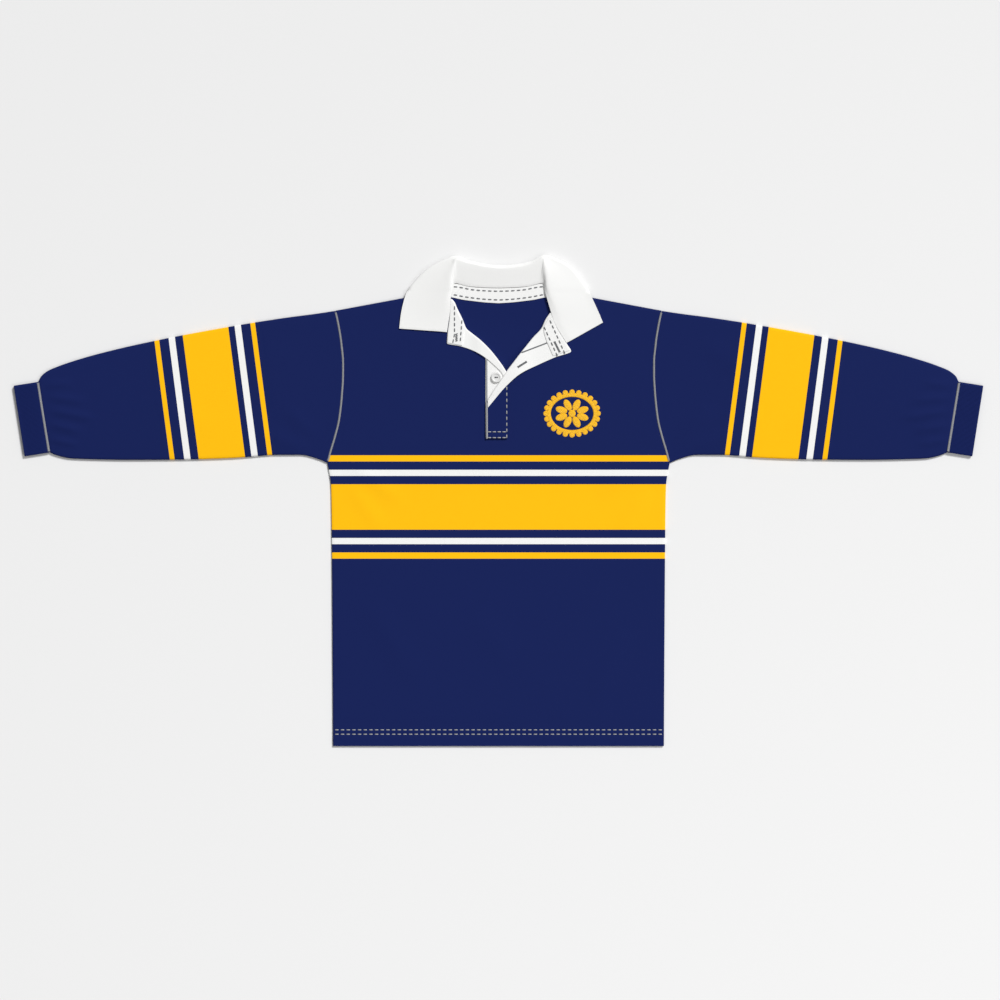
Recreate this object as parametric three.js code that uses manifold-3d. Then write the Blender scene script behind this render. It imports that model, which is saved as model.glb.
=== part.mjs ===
// A long-sleeved rugby shirt laid flat on its back, in millimetres.
// +X runs to the wearer's left, +Y to the collar and +Z up from the surface.
// The origin is below the middle of the whole shirt, on the surface that it lies on.
import * as THREE from "three";
import { mergeVertices } from "three/addons/utils/BufferGeometryUtils.js";
import Module from "manifold-3d";

// Cloth
const JERSEY = 1.4;
const TWILL = 1.2;
const COLLAR_TWILL = 1.8;
const TAPE = 0.8;
const RIB = 2.2;
const RIB_RELIEF = 0.35;
const GAP = 0.3;

// Lie of the body
const HEM_Y = -417.2;
const SHOULDER_TIP_Y = 322.9;
const BODY_HALF_WIDTH = 285;
const CROWN = 0.8;
const NECK_RISE = 1.8;
const COLLAR_LIFT = 2.4;

// Sleeves and cuffs
const SLEEVE_START = 3.4;
const SLEEVE_DEPTH = 5.0;
const CUFF_LENGTH = 42;
const CUFF_RIBS = 28;

// Button
const BUTTON_RADIUS = 8.5;
const BUTTON_THICKNESS = 3;
const BUTTON_HOLE_RADIUS = 1.1;
const BUTTON_HOLE_OFFSET = 1.9;
const BUTTON_PLACE = { x: -3.9, y: 209.4 };

const NAVY = 0x1a265a;
const WHITE = 0xf4f4f2;

const jersey = () => new THREE.MeshStandardMaterial({ color: NAVY, roughness: 0.9, metalness: 0 });
const twill = () => new THREE.MeshStandardMaterial({ color: WHITE, roughness: 0.85, metalness: 0 });
const rib = () => new THREE.MeshStandardMaterial({ color: NAVY, roughness: 0.95, metalness: 0 });
const resin = () => new THREE.MeshStandardMaterial({ color: WHITE, roughness: 0.35, metalness: 0 });

const { lerp } = THREE.MathUtils;
const ease = (t) => THREE.MathUtils.smoothstep(t, 0, 1);

// Each row of a table becomes an object with the named columns.
function table(columns, rows) {
  const names = columns.split(" ");
  return rows.map((row) => Object.fromEntries(names.map((name, i) => [name, row[i]])));
}

// Heights of the layers over the surface.
// The back panel rises over the collar's fall, which lies beneath it behind the neck.
function collarLift(x, y) {
  return COLLAR_LIFT * ease((y - 285) / 68) * ease((190 - Math.abs(x)) / 100);
}

function backMid(x, y) {
  return JERSEY / 2 + collarLift(x, y);
}

function backTop(x, y) {
  return JERSEY + collarLift(x, y);
}

// The front lies on the back, a little fuller in the middle and round the open neck.
function frontMid(x, y) {
  const across = Math.max(0, 1 - (x / BODY_HALF_WIDTH) ** 2);
  const crown = CROWN * across * ease((y - HEM_Y) / 60);
  const neck = NECK_RISE * Math.exp(-((x / 110) ** 2) - ((y - 275) / 110) ** 2);
  return backTop(x, y) + GAP + crown + neck + JERSEY / 2;
}

function frontTop(x, y) {
  return frontMid(x, y) + JERSEY / 2;
}

function underlapTop(x, y) {
  return frontTop(x, y) + GAP + TWILL;
}

// A closed wall of even thickness round a mid-surface, given as grids of points.
// Points that coincide are shared, and a rim closes the wall along each free edge.
// relief(i, j) raises the outer points of the first grid.
function wall(grids, thickness, relief = () => 0) {
  const points = [];
  const reliefs = [];
  const seen = new Map();
  const faces = [];
  const share = (p, raised) => {
    const key = [p.x, p.y, p.z].map((v) => Math.round(v * 1000)).join(" ");
    if (!seen.has(key)) {
      seen.set(key, points.length);
      points.push(p);
      reliefs.push(raised);
    }
    return seen.get(key);
  };
  for (const grid of grids) {
    const index = grid.map((row, i) => row.map((p, j) => share(p, relief(i, j))));
    for (let i = 0; i + 1 < index.length; i += 1) {
      for (let j = 0; j + 1 < index[i].length; j += 1) {
        const [a, b, c, d] = [index[i][j], index[i][j + 1], index[i + 1][j + 1], index[i + 1][j]];
        faces.push([a, b, c], [a, c, d]);
      }
    }
  }
  const normals = points.map(() => new THREE.Vector3());
  for (const [a, b, c] of faces) {
    const side = points[b].clone().sub(points[a]);
    const area = side.cross(points[c].clone().sub(points[a]));
    for (const k of [a, b, c]) normals[k].add(area);
  }
  normals.forEach((n) => n.normalize());
  const shifted = (by) => points.map((p, k) => p.clone().addScaledVector(normals[k], by(k)));
  const outer = shifted((k) => thickness / 2 + reliefs[k]);
  const inner = shifted(() => -thickness / 2);
  const uses = new Map();
  const edgesOf = ([a, b, c]) => [[a, b], [b, c], [c, a]];
  for (const face of faces) for (const [a, b] of edgesOf(face)) uses.set(`${a} ${b}`, true);
  const count = points.length;
  const indices = [];
  for (const [a, b, c] of faces) {
    indices.push(a, b, c, count + c, count + b, count + a);
    for (const [p, q] of edgesOf([a, b, c])) {
      if (!uses.has(`${q} ${p}`)) indices.push(q, p, count + p, q, count + p, count + q);
    }
  }
  const geometry = new THREE.BufferGeometry();
  const positions = [...outer, ...inner].flatMap((p) => [p.x, p.y, p.z]);
  geometry.setAttribute("position", new THREE.Float32BufferAttribute(positions, 3));
  geometry.setIndex(indices);
  return geometry;
}

const steps = (count) => Array.from({ length: count + 1 }, (_, i) => i / count);
const spread = (from, to, count) => steps(count).map((t) => lerp(from, to, t));

function named(name, geometry, material) {
  const mesh = new THREE.Mesh(geometry, material);
  mesh.name = name;
  return mesh;
}

// Body panels.
// side is the side seam and armhole; midY, rightV and leftV are the front's middle edges, which
// part above the end of the placket slit and follow the open neck. right is the wearer's right.
const BODY = table("sideX sideY midY rightV leftV", [
  [281.0, HEM_Y, HEM_Y, 0, 0],
  [281.6, -300, -300, 0, 0],
  [282.4, -170, -170, 0, 0],
  [283.3, -50, -50, 0, 0],
  [284.6, 25, 25, 0, 0],
  [290.6, 64.2, 66, 0, 0],
  [284.8, 86.3, 90, 0, 0],
  [279.6, 103.3, 112, 0, 0],
  [271.1, 137.3, 142, -0.6, 0.6],
  [266.9, 171.3, 171, -0.6, 0.6],
  [265.3, 192, 190, -0.6, 0.6],
  [264.3, 210, 206, -0.6, 10],
  [264.2, 224, 222, -0.6, 20.5],
  [264.3, 239.3, 236, -2.5, 31.5],
  [265.4, 252, 249, -13.2, 41],
  [266.7, 263, 262, -24.5, 51.5],
  [267.8, 273.3, 274, -36.5, 61],
  [269.3, 283, 284, -50, 70],
  [270.8, 292, 296, -61, 79.5],
  [273.7, 307.3, 325, -74.5, 88.5],
  [277.4, SHOULDER_TIP_Y, 359, -83.6, 83.6],
]);
const FRONT_COLUMNS = 9;

// The back's upper edge from the shoulder tip to the middle of the neck.
const BACK_TOP = table("x y", [
  [277.4, SHOULDER_TIP_Y],
  [238, 330.3],
  [199, 337.6],
  [159.1, 345.0],
  [116.5, 353.3],
  [80.2, 370.3],
  [67.1, 366.4],
  [46.8, 361.8],
  [19.6, 359.8],
  [0, 359.6],
]);

function makeBack() {
  const tip = BACK_TOP[0];
  const half = BACK_TOP.map((top) => ({ share: top.x / tip.x, y: top.y }));
  const mirrored = half.slice(0, -1).reverse().map(({ share, y }) => ({ share: -share, y }));
  const columns = [...half, ...mirrored];
  const grid = BODY.map(({ sideX, sideY }) => columns.map(({ share, y }) => {
    const height = (sideY - HEM_Y) / (SHOULDER_TIP_Y - HEM_Y);
    const px = share * sideX;
    const py = lerp(HEM_Y, y, height);
    return new THREE.Vector3(px, py, backMid(px, py));
  }));
  return named("back", wall([grid], JERSEY), jersey());
}

function frontHalf(side, edge) {
  return BODY.map((row) => steps(FRONT_COLUMNS).map((t) => {
    const px = lerp(side * row.sideX, row[edge], t);
    const py = lerp(row.sideY, row.midY, t);
    return new THREE.Vector3(px, py, frontMid(px, py));
  }));
}

function makeFront() {
  const right = frontHalf(-1, "rightV");
  const left = frontHalf(1, "leftV").map((row) => row.reverse());
  return named("front", wall([right, left], JERSEY), jersey());
}

// Sleeves.
// upper and lower are the two edges of the flattened sleeve, from the armhole to the cuff seam.
const SLEEVE = table("upperX upperY lowerX lowerY", [
  [277.7, 322.9, 290.9, 64.2],
  [312, 317.8, 309, 70],
  [352, 312.6, 338, 77],
  [400, 305.5, 378, 77.6],
  [480, 292, 455, 72.5],
  [570, 275, 545, 70],
  [650, 257.5, 628, 69.5],
  [705, 243, 690, 70.5],
  [745, 230, 727, 72],
  [768, 220, 745, 75.5],
  [779, 210, 757.5, 79.6],
  [782, 203, 763, 82.6],
]);
// The first ring follows the body's armhole at these rows of its table. bulge is how far the seam
// lies inside the straight line between its ends.
const ARMHOLE_ROWS = [20, 18, 16, 13, 11, 9, 8, 7, 6, 5];
const ARMHOLE = ARMHOLE_ROWS.map((index) => {
  const { sideX, sideY } = BODY[index];
  const { upperX, upperY, lowerX, lowerY } = SLEEVE[0];
  const t = THREE.MathUtils.clamp((upperY - sideY) / (upperY - lowerY), 0, 1);
  return { t, bulge: Math.max(0, lerp(upperX, lowerX, t) - sideX - GAP) };
});
const ARMHOLE_FADE = 4;
const FOLD_STEPS = 3;

// One ring of a flattened tube between two edge points, closed on itself.
function flatRing(upper, lower, depth, thickness, stops, floor) {
  const radius = (depth - thickness) / 2;
  const centre = floor + thickness / 2 + radius;
  const along = lower.clone().sub(upper);
  const length = along.length();
  along.normalize();
  const inset = (thickness / 2 + radius) / length;
  const at = (t, z, shift = 0) => {
    const p = upper.clone().addScaledVector(along, t * length);
    return new THREE.Vector3(p.x + shift, p.y, z);
  };
  const ring = [];
  for (const { t, shift } of stops) ring.push(at(lerp(inset, 1 - inset, t), centre + radius, shift));
  for (let k = 1; k < FOLD_STEPS; k += 1) {
    const turn = (Math.PI * k) / FOLD_STEPS;
    const out = (radius * Math.sin(turn)) / length;
    ring.push(at(1 - inset + out, centre + radius * Math.cos(turn)));
  }
  for (const { t, shift } of [...stops].reverse()) {
    ring.push(at(lerp(inset, 1 - inset, t), centre - radius, shift));
  }
  for (let k = 1; k < FOLD_STEPS; k += 1) {
    const turn = (Math.PI * k) / FOLD_STEPS;
    const out = (radius * Math.sin(turn)) / length;
    ring.push(at(inset - out, centre - radius * Math.cos(turn)));
  }
  ring.push(ring[0].clone());
  return ring;
}

function makeSleeve(name, side) {
  const rings = SLEEVE.map((row, i) => {
    const fade = Math.max(0, 1 - i / ARMHOLE_FADE) ** 2;
    const stops = ARMHOLE.map(({ t, bulge }) => ({ t, shift: -side * bulge * fade }));
    const upper = new THREE.Vector2(side * row.upperX, row.upperY);
    const lower = new THREE.Vector2(side * row.lowerX, row.lowerY);
    const depth = lerp(SLEEVE_START, SLEEVE_DEPTH, ease(i / ARMHOLE_FADE));
    return flatRing(upper, lower, depth, JERSEY, stops, 0);
  });
  return named(name, wall([rings], JERSEY), jersey());
}

// Cuffs: ribbed tubes that carry on from the sleeve's end, square to it.
const CUFF_SEAM = { upperX: 782.5, upperY: 202.2, lowerX: 763.8, lowerY: 82.0 };

function makeCuff(name, side) {
  const upper = new THREE.Vector2(side * CUFF_SEAM.upperX, CUFF_SEAM.upperY);
  const lower = new THREE.Vector2(side * CUFF_SEAM.lowerX, CUFF_SEAM.lowerY);
  const seam = upper.clone().sub(lower).normalize();
  const out = new THREE.Vector2(side * seam.y, -side * seam.x);
  const stops = steps(2 * CUFF_RIBS).map((t) => ({ t, shift: 0 }));
  const depth = SLEEVE_DEPTH + 0.6;
  const rings = steps(2).map((t) => {
    const shift = out.clone().multiplyScalar(CUFF_LENGTH * t);
    return flatRing(upper.clone().add(shift), lower.clone().add(shift), depth, RIB, stops, RIB_RELIEF);
  });
  if (side < 0) rings.forEach((ring) => ring.reverse());
  const relief = (i, j) => (j % 2 === 0 ? RIB_RELIEF : 0);
  return named(name, wall([rings], RIB, relief), rib());
}

// Collar: one folded twill band. Behind the neck it stands up and its fall goes down behind.
// Round the shoulders the leaf turns under less and less, and in front it lies flat on the body.
// lap is 1 where the seam lies on the front and 0 on the back; turn is 1 where the leaf folds under.
const COLLAR = table("seamX seamY lap crestX crestY rise foldX foldY hemX hemY turn", [
  [-87.6, 286.6, 1, -98, 287.6, 0.3, -168.8, 292.7, -168.8, 292.7, 0],
  [-82.6, 320.9, 1, -92.6, 320.9, 0.8, -165.1, 321.7, -165.1, 321.7, 0],
  [-81.0, 348, 1, -87.0, 350, 2.2, -157.6, 350.5, -157.6, 350.5, 0],
  [-78.6, 359.1, 0.6, -81.9, 364.2, 3.5, -147.9, 367.6, -141.7, 358.2, 1],
  [-76.3, 368, 0, -79.7, 383.8, 4.6, -123.2, 393.0, -120.5, 358.4, 1],
  [-72.2, 369.8, 0, -74.8, 401.6, 4.6, -94.3, 408.8, -98.6, 357.8, 1],
  [-65.5, 368.5, 0, -70.5, 410.0, 4, -72.2, 416.6, -78.2, 355.0, 1],
  [-45.0, 364.1, 0, -46.8, 402.5, 2.2, -47.6, 407.9, -46.8, 354.0, 1],
  [0.0, 362.0, 0, 0.0, 394.7, 1.6, 0.0, 400.1, 0.0, 355.4, 1],
  [45.0, 364.1, 0, 49.3, 399.9, 2.2, 50.1, 405.4, 46.8, 354.0, 1],
  [65.5, 368.5, 0, 74.8, 411.0, 4, 77.0, 417.6, 78.2, 355.0, 1],
  [72.2, 369.8, 0, 76.5, 403.3, 4.6, 99.5, 410.6, 99.5, 357.8, 1],
  [76.5, 368, 0, 79.6, 385.5, 4.6, 125.0, 396.0, 123.2, 358.4, 1],
  [78.6, 359.1, 0.6, 82.5, 364.2, 3.5, 148.2, 366.2, 143.5, 357.2, 1],
  [81.4, 347.5, 1, 88.0, 349.5, 2.2, 156.4, 350.5, 156.4, 350.5, 0],
  [91.6, 313.0, 1, 102.0, 315, 0.8, 170.5, 321.7, 170.5, 321.7, 0],
  [98.6, 295.8, 1, 108.6, 298.4, 0.5, 174, 312, 174, 312, 0],
  [115.4, 268.4, 1, 124.2, 273, 0.3, 177.5, 303.0, 177.5, 303.0, 0],
]);
const COLLAR_STATIONS = 34;
const STAND_STEPS = 3;
const LEAF_STEPS = 5;
const TURN_STEPS = 3;
const FALL_STEPS = 3;
const FLAT_ARC = 9;
const FLAT_END = 2;

function collarStation(row) {
  const half = COLLAR_TWILL / 2;
  const over = (x, y) => frontTop(x, y) + 1.4 * GAP + half;
  const seamZ = lerp(backTop(row.seamX, row.seamY) + GAP + half, over(row.seamX, row.seamY), row.lap);
  const seam = new THREE.Vector3(row.seamX, row.seamY, seamZ);
  const crest = new THREE.Vector3(row.crestX, row.crestY, over(row.crestX, row.crestY) + row.rise);
  const foldZ = over(row.foldX, row.foldY);
  const radius = (foldZ - half) / 2;
  const fold = new THREE.Vector3(row.foldX, row.foldY, foldZ);
  const out = new THREE.Vector3(row.foldX - row.crestX, row.foldY - row.crestY, 0).normalize();
  const reach = lerp(FLAT_ARC + FLAT_END, radius + half, row.turn);
  const brow = fold.clone().addScaledVector(out, -reach);
  const points = [];
  for (const t of steps(STAND_STEPS)) points.push(seam.clone().lerp(crest, t));
  for (const t of steps(LEAF_STEPS).slice(1)) {
    const p = crest.clone().lerp(brow, t);
    p.z = over(p.x, p.y) + row.rise * (1 - t) ** 2;
    points.push(p);
  }
  const start = points[points.length - 1];
  const angle = Math.PI * row.turn;
  for (const t of steps(TURN_STEPS).slice(1)) {
    const forward = lerp(FLAT_ARC * t, radius * Math.sin(angle * t), row.turn);
    const p = start.clone().addScaledVector(out, forward);
    p.z = start.z - ((start.z - half) / 2) * (1 - Math.cos(angle * t));
    points.push(p);
  }
  const last = points[points.length - 1];
  const flat = last.clone().addScaledVector(out, FLAT_END);
  const hem = new THREE.Vector3(row.hemX, row.hemY, half);
  const end = flat.lerp(hem, row.turn);
  for (const t of steps(FALL_STEPS).slice(1)) points.push(last.clone().lerp(end, t));
  return points;
}

function makeCollar() {
  const columns = Object.keys(COLLAR[0]);
  const curveOf = (name) => {
    const values = COLLAR.map((row) => new THREE.Vector3(row[name], 0, 0));
    return new THREE.CatmullRomCurve3(values, false, "catmullrom", 0.5);
  };
  const curves = Object.fromEntries(columns.map((name) => [name, curveOf(name)]));
  const grid = steps(COLLAR_STATIONS).map((t) => {
    const row = Object.fromEntries(columns.map((name) => [name, curves[name].getPoint(t).x]));
    row.turn = THREE.MathUtils.clamp(row.turn, 0, 1);
    row.lap = THREE.MathUtils.clamp(row.lap, 0, 1);
    return collarStation(row);
  });
  return named("collar", wall([grid], COLLAR_TWILL), twill());
}

// Neck tape: a twill strip along the inside of the back neck seam.
const NECK_TAPE = table("x upper lower", [
  [-76.0, 360, 345.4],
  [-69.5, 367.2, 343.8],
  [-60, 366.5, 341.8],
  [-45, 363.2, 339.8],
  [-22, 361.6, 337.2],
  [0, 361.1, 335.8],
]);

function makeNeckTape() {
  const other = NECK_TAPE.slice(0, -1).reverse().map(({ x, upper, lower }) => ({ x: -x, upper, lower }));
  const grid = spread(0, 1, 3).map((t) => [...NECK_TAPE, ...other].map(({ x, upper, lower }) => {
    const y = lerp(upper, lower, t);
    return new THREE.Vector3(x, y, backTop(x, y) + GAP + TAPE / 2);
  }));
  return named("neck_tape", wall([grid], TAPE), twill());
}

// Placket: a white underlap on the wearer's right and a navy overlap on the left.
const UNDERLAP = table("left right y", [
  [-22.1, -17.5, 250],
  [-22.1, -8.5, 243],
  [-22.1, -0.5, 232],
  [-22.1, 6.3, 222],
  [-22.1, 13.6, 211],
  [-22.1, 13.6, 176],
  [-22.1, 13.6, 141],
  [-22.1, 13.6, 106.7],
]);
const OVERLAP = { left: -21.0, leftTop: -18.7, right: 15.3, foot: 105.8, leftY: 165.3, rightY: 212.1 };

function makeUnderlap() {
  const grid = UNDERLAP.map(({ left, right, y }) => spread(left, right, 4).map((x) => {
    return new THREE.Vector3(x, y, frontTop(x, y) + GAP + TWILL / 2);
  }));
  return named("placket_under", wall([grid], TWILL), twill());
}

function makeOverlap() {
  const { left, leftTop, right, foot, leftY, rightY } = OVERLAP;
  const grid = steps(7).map((v) => steps(4).map((u) => {
    const x = lerp(lerp(left, leftTop, v), right, u);
    const y = lerp(foot, lerp(leftY, rightY, u), v);
    return new THREE.Vector3(x, y, underlapTop(x, y) + GAP + JERSEY / 2);
  }));
  return named("placket_over", wall([grid], JERSEY), jersey());
}

// Facings: the white insides of the two fronts, turned back over the open neck.
// roll is the fold along the neck's edge and free the other edge. base is 0 where the fold comes
// down to the back and 1 where it comes down to the placket.
const FACING_RIGHT = table("rollX rollY freeX freeY base", [
  [-77.3, 346.6, -80.4, 345.8, 0],
  [-73.9, 337, -80.3, 336, 0],
  [-70.0, 326.8, -80.3, 326.0, 0],
  [-61.5, 309.8, -81.3, 305.6, 0],
  [-54.4, 293.0, -84.0, 285.2, 0],
  [-43.9, 283.8, -86.2, 267.8, 0],
  [-31.1, 273.6, -66.3, 263.1, 0],
  [-14.4, 257.0, -43.4, 255.3, 0],
  [-0.8, 240.1, -21.2, 242.3, 0],
  [7.6, 228.6, -6.0, 229.2, 0],
  [12.0, 221.8, 4.6, 218.6, 1],
]);
const FACING_LEFT = table("rollX rollY freeX freeY base", [
  [83.2, 322.7, 86.4, 323.3, 0],
  [78.8, 308, 90.4, 311.2, 0],
  [72.8, 293.0, 96.4, 295.6, 0],
  [58.5, 277.4, 105.4, 278, 0],
  [47.6, 263.9, 115.1, 264.8, 0],
  [37.6, 251.3, 122.6, 253.9, 0],
  [25.5, 235.4, 96.4, 243.9, 0],
  [15.4, 222.2, 67.5, 231.1, 1],
  [6.8, 208.7, 37.2, 215.8, 1],
  [-8.3, 187.1, 12.9, 194.6, 1],
  [-16.7, 171.3, -16.3, 159.4, 1],
]);
const ROLL_RADIUS = 1.5;
const ROLL_STEPS = 3;
const FACING_STEPS = 4;
const FOOT_GAP = 0.5;

function underRightFacing(x, y) {
  return frontTop(x, y) + (GAP + TWILL) * ease((x + 50) / 20);
}

function underLeftFacing(x, y) {
  return frontTop(x, y) + (2 * GAP + TWILL + JERSEY) * ease((64 - x) / 34);
}

function makeFacing(name, rows, bed) {
  const half = TWILL / 2;
  const grid = rows.map(({ rollX, rollY, freeX, freeY, base }) => {
    const inward = new THREE.Vector2(freeX - rollX, freeY - rollY);
    const width = inward.length();
    inward.normalize();
    const at = (away, drop) => {
      const x = rollX + inward.x * away;
      const y = rollY + inward.y * away;
      return new THREE.Vector3(x, y, bed(x, y) + GAP + half - drop);
    };
    const section = spread(width, half + ROLL_RADIUS, FACING_STEPS).map((away) => at(away, 0));
    const brow = section[section.length - 1].z;
    for (let k = 1; k <= ROLL_STEPS; k += 1) {
      const turn = (Math.PI / 2) * (k / ROLL_STEPS);
      const p = at(half + ROLL_RADIUS * (1 - Math.sin(turn)), 0);
      p.z = brow - ROLL_RADIUS * (1 - Math.cos(turn));
      section.push(p);
    }
    const foot = section[section.length - 1].clone();
    const ground = lerp(backTop(foot.x, foot.y), underlapTop(foot.x, foot.y), base);
    foot.z = Math.min(foot.z - 0.3, ground + FOOT_GAP);
    section.push(foot);
    return section;
  });
  return named(name, wall([grid], TWILL), twill());
}

// Ends of the neck tape, stitched down over the facings beside the collar seam.
const TAPE_RIGHT = table("outerX outerY innerX innerY", [
  [-79.5, 333, -76.6, 333],
  [-79.9, 318, -69.8, 318],
  [-80.6, 306, -63.8, 306],
  [-82.8, 290, -58.4, 292],
  [-84.2, 278, -59.3, 279],
  [-85.0, 269, -61.4, 263.8],
]);
const TAPE_LEFT = table("outerX outerY innerX innerY", [
  [89.9, 308, 83.0, 306],
  [95.3, 296, 77.8, 291],
  [104.6, 278, 79.5, 276],
  [114.2, 265, 86, 262],
  [120.5, 255.4, 95, 245.6],
]);

function makeTapeEnd(name, rows, bed) {
  const grid = rows.map(({ outerX, outerY, innerX, innerY }) => steps(3).map((t) => {
    const x = lerp(outerX, innerX, t);
    const y = lerp(outerY, innerY, t);
    return new THREE.Vector3(x, y, bed(x, y) + GAP + TWILL + GAP + TAPE / 2);
  }));
  return named(name, wall([grid], TAPE), twill());
}

// Button: a turned disc with a raised rim, a dished middle and two sewing holes.
function makeButton(wasm) {
  const solidOf = (geometry) => {
    geometry.deleteAttribute("normal");
    geometry.deleteAttribute("uv");
    const merged = mergeVertices(geometry, 1e-3);
    const vertProperties = new Float32Array(merged.attributes.position.array);
    const triVerts = new Uint32Array(merged.index.array);
    return new wasm.Manifold(new wasm.Mesh({ numProp: 3, vertProperties, triVerts }));
  };
  const r = BUTTON_RADIUS;
  const h = BUTTON_THICKNESS;
  const profile = [
    [0, 0],
    [r - 1, 0],
    [r, 1],
    [r, h - 0.8],
    [r - 0.8, h],
    [r - 2.2, h],
    [r - 3.2, h - 1],
    [0, h - 1],
  ].map(([x, y]) => new THREE.Vector2(x, y));
  const turned = new THREE.LatheGeometry(profile, 28);
  turned.rotateX(Math.PI / 2);
  let button = solidOf(turned);
  for (const side of [-1, 1]) {
    const hole = new THREE.CylinderGeometry(BUTTON_HOLE_RADIUS, BUTTON_HOLE_RADIUS, 3 * h, 10);
    hole.rotateX(Math.PI / 2);
    hole.translate(side * BUTTON_HOLE_OFFSET, 0, 0);
    button = button.subtract(solidOf(hole));
  }
  const { vertProperties, triVerts } = button.getMesh();
  const geometry = new THREE.BufferGeometry();
  geometry.setAttribute("position", new THREE.Float32BufferAttribute(vertProperties, 3));
  geometry.setIndex([...triVerts]);
  const mesh = named("button", geometry, resin());
  const { x, y } = BUTTON_PLACE;
  mesh.position.set(x, y, underlapTop(x, y) + GAP + 0.1);
  return mesh;
}

const wasm = await Module();
wasm.setup();

const shirt = new THREE.Group();
shirt.add(
  makeBack(),
  makeFront(),
  makeSleeve("sleeve_right", -1),
  makeSleeve("sleeve_left", 1),
  makeCuff("cuff_right", -1),
  makeCuff("cuff_left", 1),
  makeCollar(),
  makeNeckTape(),
  makeUnderlap(),
  makeOverlap(),
  makeFacing("facing_right", FACING_RIGHT, underRightFacing),
  makeFacing("facing_left", FACING_LEFT, underLeftFacing),
  makeTapeEnd("neck_tape_right", TAPE_RIGHT, underRightFacing),
  makeTapeEnd("neck_tape_left", TAPE_LEFT, underLeftFacing),
  makeButton(wasm),
);

export default shirt;
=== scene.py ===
"""A long-sleeved rugby shirt laid flat on its back with its neck open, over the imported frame."""

import math

import bmesh
import bpy
import numpy as np
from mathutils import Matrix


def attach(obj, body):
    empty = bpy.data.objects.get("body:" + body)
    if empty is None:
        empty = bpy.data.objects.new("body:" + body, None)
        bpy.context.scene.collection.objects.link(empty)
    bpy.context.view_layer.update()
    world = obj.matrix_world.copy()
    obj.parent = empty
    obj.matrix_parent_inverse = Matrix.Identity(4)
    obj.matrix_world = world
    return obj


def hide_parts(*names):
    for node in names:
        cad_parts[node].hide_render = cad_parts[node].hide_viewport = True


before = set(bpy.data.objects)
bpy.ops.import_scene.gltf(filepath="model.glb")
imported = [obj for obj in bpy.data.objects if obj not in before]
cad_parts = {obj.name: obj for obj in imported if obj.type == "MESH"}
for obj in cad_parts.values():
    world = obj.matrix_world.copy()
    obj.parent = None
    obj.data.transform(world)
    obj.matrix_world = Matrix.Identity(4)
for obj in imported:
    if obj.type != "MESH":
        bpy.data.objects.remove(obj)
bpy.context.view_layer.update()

# Back panel: cotton jersey knitted in hoops, cut whole from the hem to the shoulders. It lies on
# the surface, and behind the neck it rises over the fall of the collar.
MM = 0.001
JERSEY = 1.4
GAP = 0.3
HEM_Y = -417.2
SHOULDER_TIP_X = 277.4
SHOULDER_TIP_Y = 322.9
SHOULDER_NECK = (83.6, 359)
ARMPIT_ROW = 5
HEM_STITCH_ROWS = (-397.1, -389.7)
NAVY = (0.008, 0.0158, 0.093, 1)
GOLD = (0.98, 0.515, 0.0056, 1)
WHITE = (0.87, 0.87, 0.86, 1)
WALE = 1.3
COURSE = 1.0
ROW_STEP = 5.0
BACK_COLUMNS = 113
WELD = 0.00002


def table(columns, rows):
    """Columns of numbers under their names."""
    values = np.array(rows, dtype=float)
    return {name: values[:, i] for i, name in enumerate(columns.split())}


def ease(t):
    """From 0 to 1 with a soft start and end."""
    t = np.clip(t, 0, 1)
    return t * t * (3 - 2 * t)


def mix(a, b, t):
    return a + (b - a) * t


def flow(at, xs, ys):
    """A smooth curve through the points that never swings past them."""
    xs = np.asarray(xs, dtype=float)
    ys = np.asarray(ys, dtype=float)
    step = np.diff(xs)
    slope = np.diff(ys) / step
    before, after = slope[:-1], slope[1:]
    heavy, light = 2 * step[1:] + step[:-1], step[1:] + 2 * step[:-1]
    turning = before * after <= 0
    safe_before = np.where(turning, 1, before)
    safe_after = np.where(turning, 1, after)
    middle = (heavy + light) / (heavy / safe_before + light / safe_after)
    tangent = np.concatenate([slope[:1], np.where(turning, 0, middle), slope[-1:]])
    at = np.clip(np.asarray(at, dtype=float), xs[0], xs[-1])
    k = np.clip(np.searchsorted(xs, at, side="right") - 1, 0, len(xs) - 2)
    t = (at - xs[k]) / step[k]
    start = (1 + 2 * t) * (1 - t) ** 2 * ys[k] + t * (1 - t) ** 2 * step[k] * tangent[k]
    end = t * t * (3 - 2 * t) * ys[k + 1] - t * t * (1 - t) * step[k] * tangent[k + 1]
    return start + end


BODY = table("side_x side_y mid_y right_v left_v", [
    [281.0, HEM_Y, HEM_Y, 0, 0],
    [281.6, -300, -300, 0, 0],
    [282.4, -170, -170, 0, 0],
    [283.3, -50, -50, 0, 0],
    [284.6, 25, 25, 0, 0],
    [290.6, 64.2, 66, 0, 0],
    [284.8, 86.3, 90, 0, 0],
    [279.6, 103.3, 112, 0, 0],
    [271.1, 137.3, 142, -0.6, 0.6],
    [266.9, 171.3, 171, -0.6, 0.6],
    [265.3, 192, 190, -0.6, 0.6],
    [264.3, 210, 206, -0.6, 10],
    [264.2, 224, 222, -0.6, 20.5],
    [264.3, 239.3, 236, -2.5, 31.5],
    [265.4, 252, 249, -13.2, 41],
    [266.7, 263, 262, -24.5, 51.5],
    [267.8, 273.3, 274, -36.5, 61],
    [269.3, 283, 284, -50, 70],
    [270.8, 292, 296, -61, 79.5],
    [273.7, 307.3, 325, -74.5, 88.5],
    [277.4, SHOULDER_TIP_Y, 359, -83.6, 83.6],
])
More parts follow.
